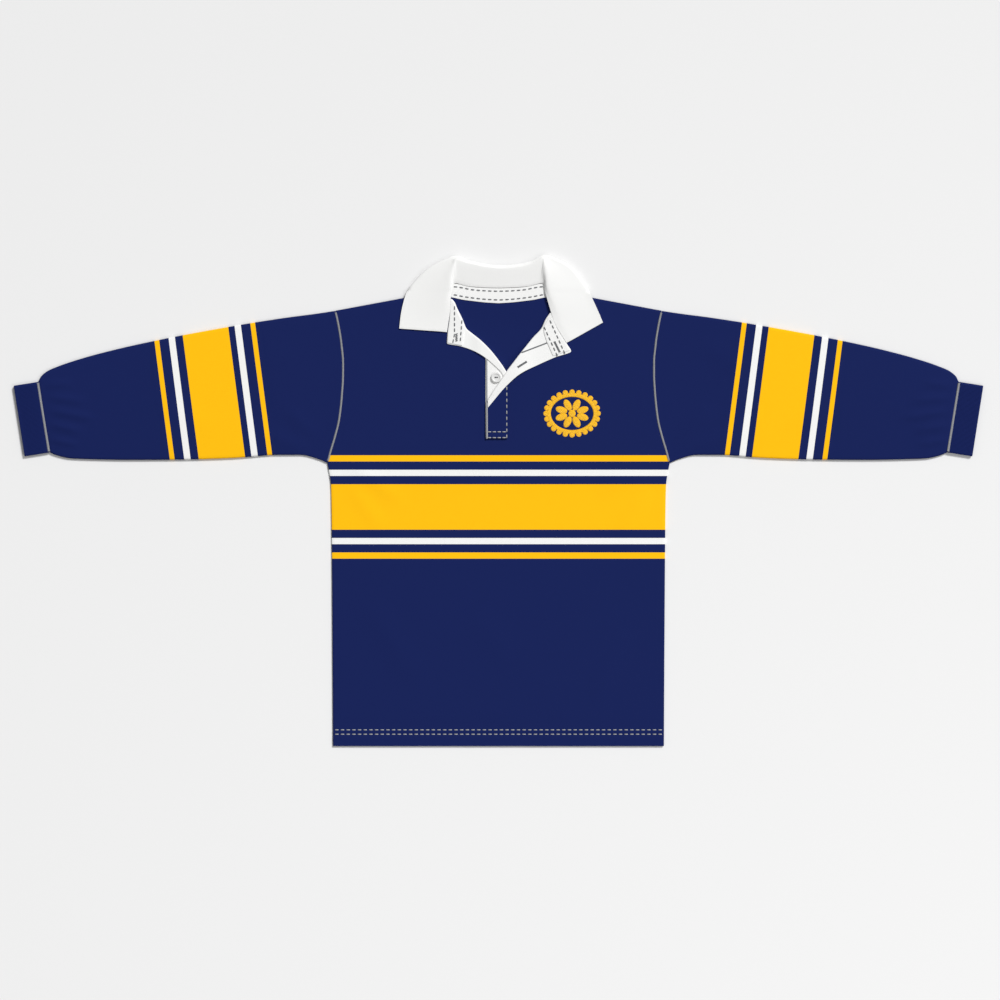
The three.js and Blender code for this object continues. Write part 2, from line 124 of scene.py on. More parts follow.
BACK_TOP = table("x y", [
    [0, 359.6],
    [19.6, 359.8],
    [46.8, 361.8],
    [67.1, 366.4],
    [80.2, 370.3],
    [116.5, 353.3],
    [159.1, 345.0],
    [199, 337.6],
    [238, 330.3],
    [277.4, SHOULDER_TIP_Y],
])


def side_x(y):
    """Half the body's width at a height: the side seam, and the armhole above the armpit."""
    armpit = BODY["side_y"][ARMPIT_ROW]
    seam = flow(y, BODY["side_y"][: ARMPIT_ROW + 1], BODY["side_x"][: ARMPIT_ROW + 1])
    armhole = flow(y, BODY["side_y"][ARMPIT_ROW:], BODY["side_x"][ARMPIT_ROW:])
    return np.where(np.asarray(y) < armpit, seam, armhole)


def collar_lift(x, y):
    """How far the fall of the collar raises the panels behind the neck."""
    return 2.4 * ease((y - 285) / 68) * ease((190 - np.abs(x)) / 100)


def back_top(x, y):
    return JERSEY + collar_lift(x, y)


def hem_roll(y):
    """The turned hem stands a little proud, and its stitches sink in."""
    fold = 0.25 * ease((HEM_STITCH_ROWS[1] + 1 - y) / 3)
    return fold - sum(0.45 * np.exp(-(((y - row) / 1.3) ** 2)) for row in HEM_STITCH_ROWS)


def linked(name, data):
    """A new object of the scene."""
    thing = bpy.data.objects.new(name, data)
    bpy.context.scene.collection.objects.link(thing)
    return thing


def round_edges(piece, width, segments=2, limit=50):
    """Bevels the sharp edges, applies the modifiers and shades the piece smooth."""
    edge = piece.modifiers.new("Edge", "BEVEL")
    edge.width = width * MM
    edge.segments = segments
    edge.limit_method = "ANGLE"
    edge.angle_limit = math.radians(limit)
    bpy.ops.object.select_all(action="DESELECT")
    bpy.context.view_layer.objects.active = piece
    piece.select_set(True)
    for modifier in [modifier.name for modifier in piece.modifiers]:
        bpy.ops.object.modifier_apply(modifier=modifier)
    bpy.ops.object.shade_smooth_by_angle(angle=math.radians(40))


def cloth(name, grids, thickness, bevel=0.3):
    """Sews grids of points, in millimetres, into one sheet and thickens it to both sides."""
    points = []
    faces = []
    flat = []
    for grid in grids:
        rows, columns = grid.shape[:2]
        index = len(points) + np.arange(rows * columns).reshape(rows, columns)
        points.extend((grid.reshape(-1, 3) * MM).tolist())
        across = np.linalg.norm(np.diff(grid, axis=1), axis=2).mean(axis=0)
        along = np.linalg.norm(np.diff(grid, axis=0), axis=2).mean(axis=1)
        u, v = np.meshgrid(np.append(0, across.cumsum()), np.append(0, along.cumsum()))
        flat.extend((np.stack([u, v], axis=2).reshape(-1, 2) * MM).tolist())
        for i in range(rows - 1):
            for j in range(columns - 1):
                faces.append((index[i, j], index[i, j + 1], index[i + 1, j + 1], index[i + 1, j]))
    mesh = bpy.data.meshes.new(name)
    mesh.from_pydata(points, [], faces)
    layer = mesh.uv_layers.new(name="Cut")
    for loop in mesh.loops:
        layer.data[loop.index].uv = flat[loop.vertex_index]
    welded = bmesh.new()
    welded.from_mesh(mesh)
    bmesh.ops.remove_doubles(welded, verts=welded.verts, dist=WELD)
    welded.to_mesh(mesh)
    welded.free()
    piece = linked(name, mesh)
    wall = piece.modifiers.new("Wall", "SOLIDIFY")
    wall.thickness = thickness * MM
    wall.offset = 0
    wall.use_even_offset = True
    wall.thickness_clamp = 0
    round_edges(piece, bevel)
    return piece


def dress(piece, finish, slot, *nodes):
    """Gives a piece its finish, hangs it on the frame's root and hides the frame's nodes that it stands
    for.
    """
    piece.data.materials.append(finish.material)
    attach(piece, "root")
    if nodes:
        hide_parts(*nodes)


class Wire:
    """One output of a node, so that sums on it can be written as sums."""

    def __init__(self, finish, socket):
        self.finish = finish
        self.socket = socket

    def math(self, operation, *values):
        return self.finish.node("ShaderNodeMath", {"operation": operation}, *values)

    def __add__(self, other):
        return self.math("ADD", self, other)

    def __mul__(self, other):
        return self.math("MULTIPLY", self, other)

    def __sub__(self, other):
        return self.math("SUBTRACT", self, other)

    def __rsub__(self, other):
        return self.math("SUBTRACT", other, self)

    def sin(self):
        return self.math("SINE", self)

    def abs(self):
        return self.math("ABSOLUTE", self)

    def zigzag(self, period):
        """From 0 to half a period and back."""
        return self.math("PINGPONG", self, period / 2)


class Finish:
    """A material, with one method that makes its nodes."""

    def __init__(self, name, roughness, gloss=0.06):
        self.material = bpy.data.materials.new(name)
        self.material.use_nodes = True
        self.nodes = self.material.node_tree.nodes
        self.links = self.material.node_tree.links
        self.shader = self.nodes["Principled BSDF"]
        self.set(self.shader, "Roughness", roughness)
        self.set(self.shader, "Specular IOR Level", gloss)

    def set(self, node, name, value):
        socket = node.inputs[name]
        if isinstance(value, Wire):
            self.links.new(value.socket, socket)
        else:
            socket.default_value = value

    def node(self, kind, settings, *values, output=0, **named):
        node = self.nodes.new(kind)
        for name, value in settings.items():
            if name == "stops":
                self.stops(node.color_ramp, value)
            else:
                setattr(node, name, value)
        for i, value in enumerate(values):
            self.set(node, i, value)
        for name, value in named.items():
            self.set(node, name, value)
        return Wire(self, node.outputs[output])

    @staticmethod
    def stops(ramp, stops):
        ramp.interpolation = "CONSTANT"
        for position, colour in stops[1:]:
            ramp.elements.new(position).color = colour
        ramp.elements[0].position = 0
        ramp.elements[0].color = stops[0][1]
        ramp.elements.remove(ramp.elements[-1])

    def millimetres(self, spot):
        """The first two coordinates of a point, as wires."""
        parts = self.node("ShaderNodeSeparateXYZ", {}, spot)
        return [Wire(self, socket) * (1 / MM) for socket in parts.socket.node.outputs[:2]]

    def place(self):
        """Where a point of the object is, across and up."""
        return self.millimetres(self.node("ShaderNodeTexCoord", {}, output="Object"))

    def cut(self):
        """Where a point lies on the flat pattern."""
        return self.millimetres(self.node("ShaderNodeUVMap", {"uv_map": "Cut"}))

    def colour(self, value):
        self.set(self.shader, "Base Color", value)

    def relief(self, height, depth, strength):
        """Bumps of the given depth in millimetres."""
        bump = self.node("ShaderNodeBump", {}, Strength=strength, Distance=depth * MM, Height=height)
        self.set(self.shader, "Normal", bump)

    def knit(self, across, along):
        """Columns of knitted stitches, with the small v that each row of them makes."""
        wale = across.zigzag(WALE) * (2 / WALE)
        row = ((along + wale * 0.45) * (math.tau / COURSE)).sin()
        self.relief(wale * 0.6 + row * 0.25, 0.25, 0.5)


def hoops(finish, at, bands, low, high):
    """Colours the cloth by a coordinate: bands are (from, to, colour), and the rest is navy."""
    stops = [(0, NAVY)]
    for start, end, colour in sorted(bands):
        stops.append(((start - low) / (high - low), colour))
        stops.append(((end - low) / (high - low), NAVY))
    share = (at - low) * (1 / (high - low))
    return finish.node("ShaderNodeValToRGB", {"stops": stops}, share, output="Color")


body_jersey = Finish("Hooped jersey", 0.85)
place_x, place_y = body_jersey.place()
BODY_HOOPS = [
    (64.2, 73.9, GOLD),
    (40.2, 49.6, WHITE),
    (-50.1, 27.2, GOLD),
    (-77.0, -66.0, WHITE),
    (-100.5, -90.7, GOLD),
]
body_jersey.colour(hoops(body_jersey, place_y, BODY_HOOPS, low=-450, high=450))
body_jersey.knit(place_x, place_y)

body_rows = np.unique(np.concatenate([
    np.arange(HEM_Y + 6, SHOULDER_TIP_Y, ROW_STEP),
    HEM_Y + np.array([0, 1.5, 3.5]),
    [row + away for row in HEM_STITCH_ROWS for away in (-2.6, -1.3, 0, 1.3, 2.6)],
    [BODY["side_y"][ARMPIT_ROW], SHOULDER_TIP_Y],
]))
share, row_y = np.meshgrid(np.linspace(1, -1, BACK_COLUMNS), body_rows)
top_y = flow(np.abs(share) * BACK_TOP["x"][-1], BACK_TOP["x"], BACK_TOP["y"])
height = (row_y - HEM_Y) / (SHOULDER_TIP_Y - HEM_Y)
panel_x = share * side_x(row_y)
panel_y = HEM_Y + height * (top_y - HEM_Y)
panel_z = JERSEY / 2 + collar_lift(panel_x, panel_y)
back = cloth("BackPanel", [np.stack([panel_x, panel_y, panel_z], axis=2)], JERSEY)
dress(back, body_jersey, "navy_jersey", "back")

# Front panel: the same jersey, cut whole, with a slit for the placket. It lies on the back, fuller
# in the middle and round the open neck, with a few soft folds that handling has left.
FOLDS = table("from_x from_y to_x to_y rise width", [
    [-268, 72, -150, -8, 1.3, 15],
    [-262, 40, -190, -60, 0.9, 14],
    [268, 74, 162, 4, 1.2, 15],
    [264, 30, 196, -72, 1.0, 15],
    [-240, -150, -120, -330, 0.8, 22],
    [230, -190, 150, -360, 0.9, 20],
    [-60, -170, 40, -300, 0.6, 26],
])
FRONT_COLUMNS = 58


def folds(x, y, rows):
    """Soft ridges from point to point that fade at both ends."""
    total = np.zeros_like(np.asarray(x, dtype=float) + y)
    for from_x, from_y, to_x, to_y, rise, width in zip(*rows.values()):
        run_x, run_y = to_x - from_x, to_y - from_y
        along = ((x - from_x) * run_x + (y - from_y) * run_y) / (run_x**2 + run_y**2)
        away = ((x - from_x) * run_y - (y - from_y) * run_x) / math.hypot(run_x, run_y)
        fade = ease(along * 2.5) * ease((1 - along) * 2.5)
        total = total + rise * fade * np.exp(-((away / width) ** 2))
    return total


def front_mid(x, y):
    """The middle of the front's cloth, between its inner and outer face."""
    across = np.maximum(0, 1 - (x / 285) ** 2)
    crown = 0.8 * across * ease((y - HEM_Y) / 60)
    neck = 1.8 * np.exp(-((x / 110) ** 2) - ((y - 275) / 110) ** 2)
    return back_top(x, y) + GAP + crown + neck + folds(x, y, FOLDS) + JERSEY / 2


def front_top(x, y):
    return front_mid(x, y) + JERSEY / 2


front_halves = []
for side, edge in ((-1, "right_v"), (1, "left_v")):
    t, row_y = np.meshgrid(np.linspace(0, 1, FRONT_COLUMNS)[::-side], body_rows)
    panel_x = side * side_x(row_y) * (1 - t) + flow(row_y, BODY["side_y"], BODY[edge]) * t
    panel_y = row_y * (1 - t) + flow(row_y, BODY["side_y"], BODY["mid_y"]) * t
    panel_z = front_mid(panel_x, panel_y) + hem_roll(panel_y)
    front_halves.append(np.stack([panel_x, panel_y, panel_z], axis=2))
front = cloth("FrontPanel", front_halves, JERSEY)
dress(front, body_jersey, "navy_jersey", "front")

STITCH_STEP = 9.7
STITCH_LENGTH = 6.1
STITCH_RADIUS = 0.95
STITCH_SINK = 0.15
THREAD_SIDES = 6

pale_thread = Finish("Pale grey thread", 0.6, gloss=0.2)
pale_thread.colour((0.36, 0.365, 0.37, 1))


def measured(path, count=400):
    """The path as even steps, with its length."""
    path = np.asarray(path, dtype=float)
    run = np.append(0, np.linalg.norm(np.diff(path, axis=0), axis=1).cumsum())
    at = np.linspace(0, run[-1], count)
    return np.stack([np.interp(at, run, path[:, i]) for i in range(2)], axis=1), run[-1]


def tube(points, radius, sides=THREAD_SIDES, tips=True):
    """A thread through the points, as vertices and faces in millimetres."""
    points = np.asarray(points, dtype=float)
    along = np.gradient(points, axis=0)
    along /= np.linalg.norm(along, axis=1)[:, None]
    across = np.cross(along, [0, 0, 1])
    across /= np.linalg.norm(across, axis=1)[:, None]
    up = np.cross(across, along)
    turn = np.arange(sides) * math.tau / sides
    sizes = np.full(len(points), radius)
    if tips:
        sizes[[0, -1]] *= 0.5
    ring = across[:, None] * np.cos(turn)[:, None] + up[:, None] * np.sin(turn)[:, None]
    vertices = (points[:, None] + ring * sizes[:, None, None]).reshape(-1, 3)
    faces = []
    for i in range(len(points) - 1):
        for j in range(sides):
            k = (j + 1) % sides
            faces.append((i * sides + j, i * sides + k, (i + 1) * sides + k, (i + 1) * sides + j))
    faces.append(tuple(range(sides))[::-1])
    faces.append(tuple((len(points) - 1) * sides + j for j in range(sides)))
    return vertices, faces


def sewn(name, threads, finish, slot):
    """Joins threads into one piece."""
    points = []
    faces = []
    for vertices, thread_faces in threads:
        start = len(points)
        points.extend((vertices * MM).tolist())
        faces.extend(tuple(start + k for k in face) for face in thread_faces)
    mesh = bpy.data.meshes.new(name)
    mesh.from_pydata(points, [], faces)
    mesh.shade_smooth()
    piece = linked(name, mesh)
    dress(piece, finish, slot)
    return piece


def running(path, surface):
    """A row of separate stitches along a path, dipping into the cloth at both ends."""
    spots, length = measured(path)
    count = max(1, round((length - STITCH_LENGTH) / STITCH_STEP) + 1)
    step = (length - STITCH_LENGTH) / (count - 1) if count > 1 else 0
    threads = []
    for i in range(count):
        at = (i * step + STITCH_LENGTH * np.array([0, 0.12, 0.5, 0.88, 1])) / length
        x = np.interp(at, np.linspace(0, 1, len(spots)), spots[:, 0])
        y = np.interp(at, np.linspace(0, 1, len(spots)), spots[:, 1])
        dip = np.array([-2 * STITCH_RADIUS, 0, 0.1, 0, -2 * STITCH_RADIUS])
        z = surface(x, y) + STITCH_RADIUS * 0.5 - STITCH_SINK + dip
        threads.append(tube(np.stack([x, y, z], axis=1), STITCH_RADIUS))
    return threads


def hem_top(x, y):
    return front_top(x, y) + hem_roll(y)


hem_threads = []
for y in HEM_STITCH_ROWS:
    hem_threads += running([(-278, y), (278, y)], hem_top)
hem_stitches = sewn("HemStitches", hem_threads, pale_thread, "thread")

# Side and shoulder seams: front and back are sewn together here and turned, so that a narrow
# rounded fold of the jersey joins their edges.
SEAM_CLOTH = 1.2
SEAM_ROUND = 9
SEAM_STAND = 0.2


def turned_seam(name, edge, inward):
    """A half-round fold along an edge, from the middle of the back to that of the front."""
    x, y = edge
    low = JERSEY / 2 + collar_lift(x, y)
    high = front_mid(x, y)
    radius = (high - low) / 2
    turn = np.linspace(-math.pi / 2, math.pi / 2, SEAM_ROUND)
    away = radius[:, None] * (1 - np.cos(turn)) + SEAM_STAND
    grid_x = x[:, None] + inward[0][:, None] * away
    grid_y = y[:, None] + inward[1][:, None] * away
    grid_z = ((low + high) / 2)[:, None] + radius[:, None] * np.sin(turn)
    piece = cloth(name, [np.stack([grid_x, grid_y, grid_z], axis=2)], SEAM_CLOTH)
    dress(piece, body_jersey, "navy_jersey")
    return piece


for side, word in ((-1, "Right"), (1, "Left")):
    run_y = np.linspace(HEM_Y + 0.8, BODY["side_y"][ARMPIT_ROW] - 1, 90)
    run_x = side * side_x(run_y)
    side_seam = turned_seam(f"SideSeam{word}", (run_x, run_y), (-side + 0 * run_x, 0 * run_x))
    t = np.linspace(0.004, 0.97, 60)
    run_x = side * mix(SHOULDER_TIP_X, SHOULDER_NECK[0], t)
    run_y = mix(SHOULDER_TIP_Y, SHOULDER_NECK[1], t)
    slope = math.atan2(SHOULDER_NECK[1] - SHOULDER_TIP_Y, SHOULDER_TIP_X - SHOULDER_NECK[0])
    inward = (-side * math.sin(slope) + 0 * run_x, -math.cos(slope) + 0 * run_x)
    shoulder = turned_seam(f"ShoulderSeam{word}", (run_x, run_y), inward)
    for seam, length in ((side_seam, 0.482), (shoulder, 0.191)):
        0.0045 * length

# Sleeves: hooped jersey, each cut in one piece, closed below the arm and sewn into the armhole.
# They lie flattened, with the upper layer a little fuller than the lower one.
SLEEVE = table("upper_x upper_y lower_x lower_y", [
    [277.7, 322.9, 290.9, 64.2],
    [312, 317.8, 309, 71.6],
    [352, 312.6, 338, 78],
    [400, 305.5, 378, 78],
    [480, 292, 455, 72.5],
    [570, 275, 545, 70],
    [650, 257.5, 628, 69.5],
    [705, 243, 690, 70.5],
    [745, 230, 727, 72],
    [768, 220, 745, 75.5],
    [779, 210, 757.5, 79.6],
    [782, 203, 763, 82.6],
])
SLEEVE_FOLDS = table("from_x from_y to_x to_y rise width", [
    [290, 92, 372, 168, 1.3, 13],
    [300, 78, 420, 122, 1.0, 12],
    [330, 272, 440, 214, 0.7, 18],
    [470, 120, 600, 166, 0.6, 18],
    [776, 178, 694, 168, 1.5, 7],
    [776, 156, 676, 138, 1.8, 7],
    [772, 132, 700, 116, 1.6, 7],
    [770, 106, 708, 94, 1.3, 6],
    [780, 196, 716, 200, 1.2, 7],
])
SLEEVE_HOOPS = [
    (394.8, 404.6, GOLD),
    (420.3, 430.1, WHITE),
    (441.3, 521.2, GOLD),
    (536.0, 545.8, WHITE),
    (561.4, 571.4, GOLD),
]
HOOP_SLANT = 0.13
HOOP_LEVEL = 171.3
ARMHOLE_DEPTH = 3.4
SLEEVE_DEPTH = 5.0
SLEEVE_RINGS = 110
SLEEVE_COLUMNS = 56
RING_ARC = 6


def sleeve_edges(count):
    """The two edges of the flattened sleeve at even steps from the armhole to the cuff."""
    upper_x = SLEEVE["upper_x"]
    rows = np.arange(len(upper_x))
    at = np.interp(np.linspace(upper_x[0], upper_x[-1], count), upper_x, rows)
    return at, {name: flow(at, rows, column) for name, column in SLEEVE.items()}


def flat_ring(upper, lower, depth, thickness, stops, shifts, floor):
    """A ring of a flattened tube between two edge points, closed on itself."""
    radius = (depth - thickness) / 2
    centre = floor + thickness / 2 + radius
    along = lower - upper
    length = np.linalg.norm(along)
    along = along / length
    inset = (thickness / 2 + radius) / length
    turn = np.pi * np.arange(1, RING_ARC) / RING_ARC
    bulge = radius * np.sin(turn) / length
    rise = radius * np.cos(turn)
    t = np.concatenate([
        inset + (1 - 2 * inset) * stops,
        1 - inset + bulge,
        inset + (1 - 2 * inset) * stops[::-1],
        inset - bulge,
    ])
    z = np.concatenate([
        np.full(len(stops), centre + radius), centre + rise,
        np.full(len(stops), centre - radius), centre - rise,
    ])
    still = np.zeros(RING_ARC - 1)
    shift = np.concatenate([shifts, still, shifts[::-1], still])
    ring = np.stack([upper[0] + along[0] * t * length + shift, upper[1] + along[1] * t * length, z], 1)
    return np.vstack([ring, ring[:1]])


def armhole_bulge(stops):
    """How far the armhole curves in from the straight line between its ends."""
    y = SLEEVE["upper_y"][0] + stops * (SLEEVE["lower_y"][0] - SLEEVE["upper_y"][0])
    x = SLEEVE["upper_x"][0] + stops * (SLEEVE["lower_x"][0] - SLEEVE["upper_x"][0])
    return np.maximum(0, x - side_x(y))


sleeve_jersey = Finish("Hooped sleeve jersey", 0.85)
place_x, place_y = sleeve_jersey.place()
along_sleeve = place_x.abs() + (HOOP_LEVEL - place_y) * HOOP_SLANT
across_sleeve = place_y + place_x.abs() * HOOP_SLANT
sleeve_jersey.colour(hoops(sleeve_jersey, along_sleeve, SLEEVE_HOOPS, low=200, high=900))
sleeve_jersey.knit(across_sleeve, along_sleeve)


def zigzag(path, surface, half_width, pitch, radius):
    """Close slanting stitches from side to side of a path."""
    spots, length = measured(path, 2000)
    count = max(2, round(2 * length / pitch))
    at = np.linspace(0, 1, count + 1)
    x = np.interp(at, np.linspace(0, 1, len(spots)), spots[:, 0])
    y = np.interp(at, np.linspace(0, 1, len(spots)), spots[:, 1])
    run = np.stack([np.gradient(x), np.gradient(y)], axis=1)
    run /= np.linalg.norm(run, axis=1)[:, None]
    side = np.where(np.arange(count + 1) % 2 == 0, 1, -1) * half_width
    x = x - run[:, 1] * side
    y = y + run[:, 0] * side
    threads = []
    for k in range(count):
        share = np.array([0, 0.1, 0.5, 0.9, 1])
        stitch_x, stitch_y = mix(x[k], x[k + 1], share), mix(y[k], y[k + 1], share)
        dip = np.array([-1.6, 0, 0.15, 0, -1.6]) * radius
        z = surface(stitch_x, stitch_y) + radius * 0.6 + dip
        threads.append(tube(np.stack([stitch_x, stitch_y, z], axis=1), radius, sides=5))
    return threads


def armhole_top(x, y):
    return np.maximum(front_top(x, y), ARMHOLE_DEPTH)


sleeve_stops = np.linspace(0, 1, SLEEVE_COLUMNS)
sleeve_at, edges = sleeve_edges(SLEEVE_RINGS)
for side, word in ((-1, "Right"), (1, "Left")):
    rings = []
    for k, at in enumerate(sleeve_at):
        upper = np.array([side * edges["upper_x"][k], edges["upper_y"][k]])
        lower = np.array([side * edges["lower_x"][k], edges["lower_y"][k]])
        shifts = -side * armhole_bulge(sleeve_stops) * max(0, 1 - at / 4) ** 2
        depth = mix(ARMHOLE_DEPTH, SLEEVE_DEPTH, ease(at / 4))
        ring = flat_ring(upper, lower, depth, JERSEY, sleeve_stops, shifts, 0)
        share_down = np.clip((ring[:, 1] - lower[1]) / (upper[1] - lower[1]), 0, 1)
        over = ease((ring[:, 2] - JERSEY) / (depth - 2 * JERSEY)) * ease(at / 3)
        full = 1.2 * np.sin(np.pi * share_down) * ease(at / 5)
        ring[:, 2] += over * (full + folds(np.abs(ring[:, 0]), ring[:, 1], SLEEVE_FOLDS))
        rings.append(ring)
    sleeve = cloth(f"Sleeve{word}", [np.stack(rings)], JERSEY)
    dress(sleeve, sleeve_jersey, "navy_jersey", "sleeve_right" if side < 0 else "sleeve_left")
    run = np.linspace(68, 320, 80)
    line = np.stack([side * (side_x(run) + 0.2), run], axis=1)
    stitches = zigzag(line, armhole_top, half_width=1.8, pitch=1.8, radius=0.42)
    armhole = sewn(f"ArmholeSeam{word}", stitches, pale_thread, "thread")

# Cuffs: navy rib knitted in narrow columns, folded double at the wrist and sewn on square to the
# sleeve.
RIB = 2.2
RIB_RELIEF = 0.5
RIB_COLUMN = 1.2
CUFF_LENGTH = 42
CUFF_DEPTH = 5.6
CUFF_RIBS = 56
CUFF_SEAM_TOP = 5.75
CUFF_UPPER = np.array([782.5, 202.2])
CUFF_LOWER = np.array([763.8, 82.0])

rib_knit = Finish("Rib", 0.9)
place_x, place_y = rib_knit.place()
rib_knit.colour(NAVY)
rib_knit.relief(((place_x.abs() + place_y * -HOOP_SLANT) * (math.tau / RIB_COLUMN)).sin(), 0.15, 0.5)


def cuff_seam_top(x, y):
    return CUFF_SEAM_TOP + 0 * x


cuff_stops = np.linspace(0, 1, 4 * CUFF_RIBS + 1)
seam = (CUFF_UPPER - CUFF_LOWER) / np.linalg.norm(CUFF_UPPER - CUFF_LOWER)
for side, word in ((-1, "Right"), (1, "Left")):
    mirror = np.array([side, 1])
    out = np.array([side * seam[1], -seam[0]])
    rings = []
    for along in (0, 1.5, 5, 14, 28, 37, 40.5, CUFF_LENGTH):
        upper = CUFF_UPPER * mirror + out * along
        lower = CUFF_LOWER * mirror + out * along
        pinch = 0.5 * (1 - ease(along / 5))
        depth = CUFF_DEPTH - pinch
        ring = flat_ring(upper, lower, depth, RIB, cuff_stops, 0 * cuff_stops, RIB_RELIEF)
        columns = np.arange(len(ring))
        rib = RIB_RELIEF * (0.5 - 0.5 * np.cos(np.pi * columns / 2)) * ease((CUFF_LENGTH + 3 - along) / 6)
        outward = np.sign(ring[:, 2] - (RIB_RELIEF + depth / 2))
        ring[:, 2] += outward * rib
        rings.append(ring)
    cuff = cloth(f"Cuff{word}", [np.stack(rings)], RIB, bevel=0.7)
    dress(cuff, rib_knit, "navy_rib", "cuff_right" if side < 0 else "cuff_left")
    line = [CUFF_UPPER * mirror + out * 0.4 - (0, 2), CUFF_LOWER * mirror + out * 0.4 + (0, 2)]
    stitches = zigzag(line, cuff_seam_top, half_width=2.2, pitch=1.7, radius=0.45)
    cuff_seam = sewn(f"CuffSeam{word}", stitches, pale_thread, "thread")

# Collar: one band of white cotton twill folded over. It stands up behind the neck, and its leaves
# turn down over the shoulders and lie flat in front.
TWILL = 1.2
COLLAR_TWILL = 1.8
TWILL_LINE = 1.1
COLLAR = table("seam_x seam_y lap crest_x crest_y rise fold_x fold_y hem_x hem_y turn", [
    [-87.6, 286.6, 1, -98, 287.6, 0.3, -168.8, 292.7, -168.8, 292.7, 0],
    [-82.6, 320.9, 1, -92.6, 320.9, 0.8, -165.1, 321.7, -165.1, 321.7, 0],
    [-81.0, 348, 1, -87.0, 350, 2.2, -157.6, 350.5, -157.6, 350.5, 0],
    [-78.6, 359.1, 0.6, -81.9, 364.2, 3.5, -147.9, 367.6, -141.7, 358.2, 1],
    [-76.3, 368, 0, -79.7, 383.8, 4.6, -123.2, 393.0, -120.5, 358.4, 1],
    [-72.2, 369.8, 0, -74.8, 401.6, 4.6, -94.3, 408.8, -98.6, 357.8, 1],
    [-65.5, 368.5, 0, -70.5, 410.0, 4, -72.2, 416.6, -78.2, 355.0, 1],
    [-45.0, 364.1, 0, -46.8, 402.5, 2.2, -47.6, 407.9, -46.8, 354.0, 1],
    [0.0, 362.0, 0, 0.0, 394.7, 1.6, 0.0, 400.1, 0.0, 355.4, 1],
    [45.0, 364.1, 0, 49.3, 399.9, 2.2, 50.1, 405.4, 46.8, 354.0, 1],
    [65.5, 368.5, 0, 74.8, 411.0, 4, 77.0, 417.6, 78.2, 355.0, 1],
    [72.2, 369.8, 0, 76.5, 403.3, 4.6, 99.5, 410.6, 99.5, 357.8, 1],
    [76.5, 368, 0, 79.6, 385.5, 4.6, 125.0, 396.0, 123.2, 358.4, 1],
    [78.6, 359.1, 0.6, 82.5, 364.2, 3.5, 148.2, 366.2, 143.5, 357.2, 1],
    [81.4, 347.5, 1, 88.0, 349.5, 2.2, 156.4, 350.5, 156.4, 350.5, 0],
    [91.6, 313.0, 1, 102.0, 315, 0.8, 169.6, 321.7, 169.6, 321.7, 0],
    [98.6, 295.8, 1, 108.6, 298.4, 0.5, 173.8, 312, 173.8, 312, 0],
    [115.4, 268.4, 1, 124.2, 273, 0.3, 177.5, 303.0, 177.5, 303.0, 0],
])
COLLAR_STATIONS = 137
FLAT_ARC = 9
FLAT_END = 2


def rounded(at, values):
    """An even curve through all values, with its ends carried on straight."""
    padded = np.concatenate([[2 * values[0] - values[1]], values, [2 * values[-1] - values[-2]]])
    k = np.clip(np.floor(at).astype(int), 0, len(values) - 2)
    t = at - k
    a, b, c, d = (padded[k + i] for i in range(4))
    return b + 0.5 * t * (c - a + t * (2 * a - 5 * b + 4 * c - d + t * (3 * (b - c) + d - a)))


def over_front(x, y):
    """The middle of the collar's cloth where it lies on the front."""
    return front_top(x, y) + 1.4 * GAP + COLLAR_TWILL / 2


def collar_section(row, reach):
    """The collar from its neck seam over the crest, out along the leaf and round to its hem.

    The leaf starts to bend at a reach before the fold. How far the section then ends up past the
    fold comes back with it.
    """
    half = COLLAR_TWILL / 2
    seam_low = back_top(row["seam_x"], row["seam_y"]) + GAP + half
    seam_z = mix(seam_low, over_front(row["seam_x"], row["seam_y"]), row["lap"])
    seam = np.array([row["seam_x"], row["seam_y"], seam_z])
    crest_z = over_front(row["crest_x"], row["crest_y"]) + row["rise"]
    crest = np.array([row["crest_x"], row["crest_y"], crest_z])
    fold_z = over_front(row["fold_x"], row["fold_y"])
    fold = np.array([row["fold_x"], row["fold_y"], fold_z])
    radius = (fold_z - half) / 2
    out = fold - crest
    out[2] = 0
    out = out / np.linalg.norm(out)
    angle = math.pi * row["turn"]
    brow = fold - out * reach
    points = [mix(seam, crest, t) for t in np.linspace(0, 1, 8)]
    for t in np.linspace(0, 1, 17)[1:]:
        point = mix(crest, brow, t)
        point[2] = over_front(point[0], point[1]) + row["rise"] * (1 - t) ** 2
        points.append(point)
    start = points[-1]
    for t in np.linspace(0, 1, 9)[1:]:
        point = start + out * mix(FLAT_ARC * t, radius * math.sin(angle * t), row["turn"])
        point[2] = start[2] - (start[2] - half) / 2 * (1 - math.cos(angle * t))
        points.append(point)
    last = points[-1]
    hem = np.array([row["hem_x"], row["hem_y"], half])
    tail = mix(FLAT_END, np.linalg.norm(hem - last), row["turn"])
    bent = last + out * tail * math.cos(angle)
    bent[2] = max(half, last[2] - tail * math.sin(angle))
    end = mix(bent, hem, row["turn"] ** 3)
    points.extend(mix(last, end, t) for t in np.linspace(0, 1, 9)[1:])
    points = np.array(points)
    for _ in range(3):
        points[1:-1] = (points[:-2] + 2 * points[1:-1] + points[2:]) / 4
    step = np.gradient(points, axis=0)
    steep = np.abs(step[:, 2]) / np.linalg.norm(step, axis=1)
    return points, ((points - fold) @ out + half * steep).max()


twill = Finish("White twill", 0.8)
cut_u, cut_v = twill.cut()
twill.colour(WHITE)
twill.relief(((cut_u + cut_v) * (math.tau / TWILL_LINE)).sin(), 0.15, 0.35)

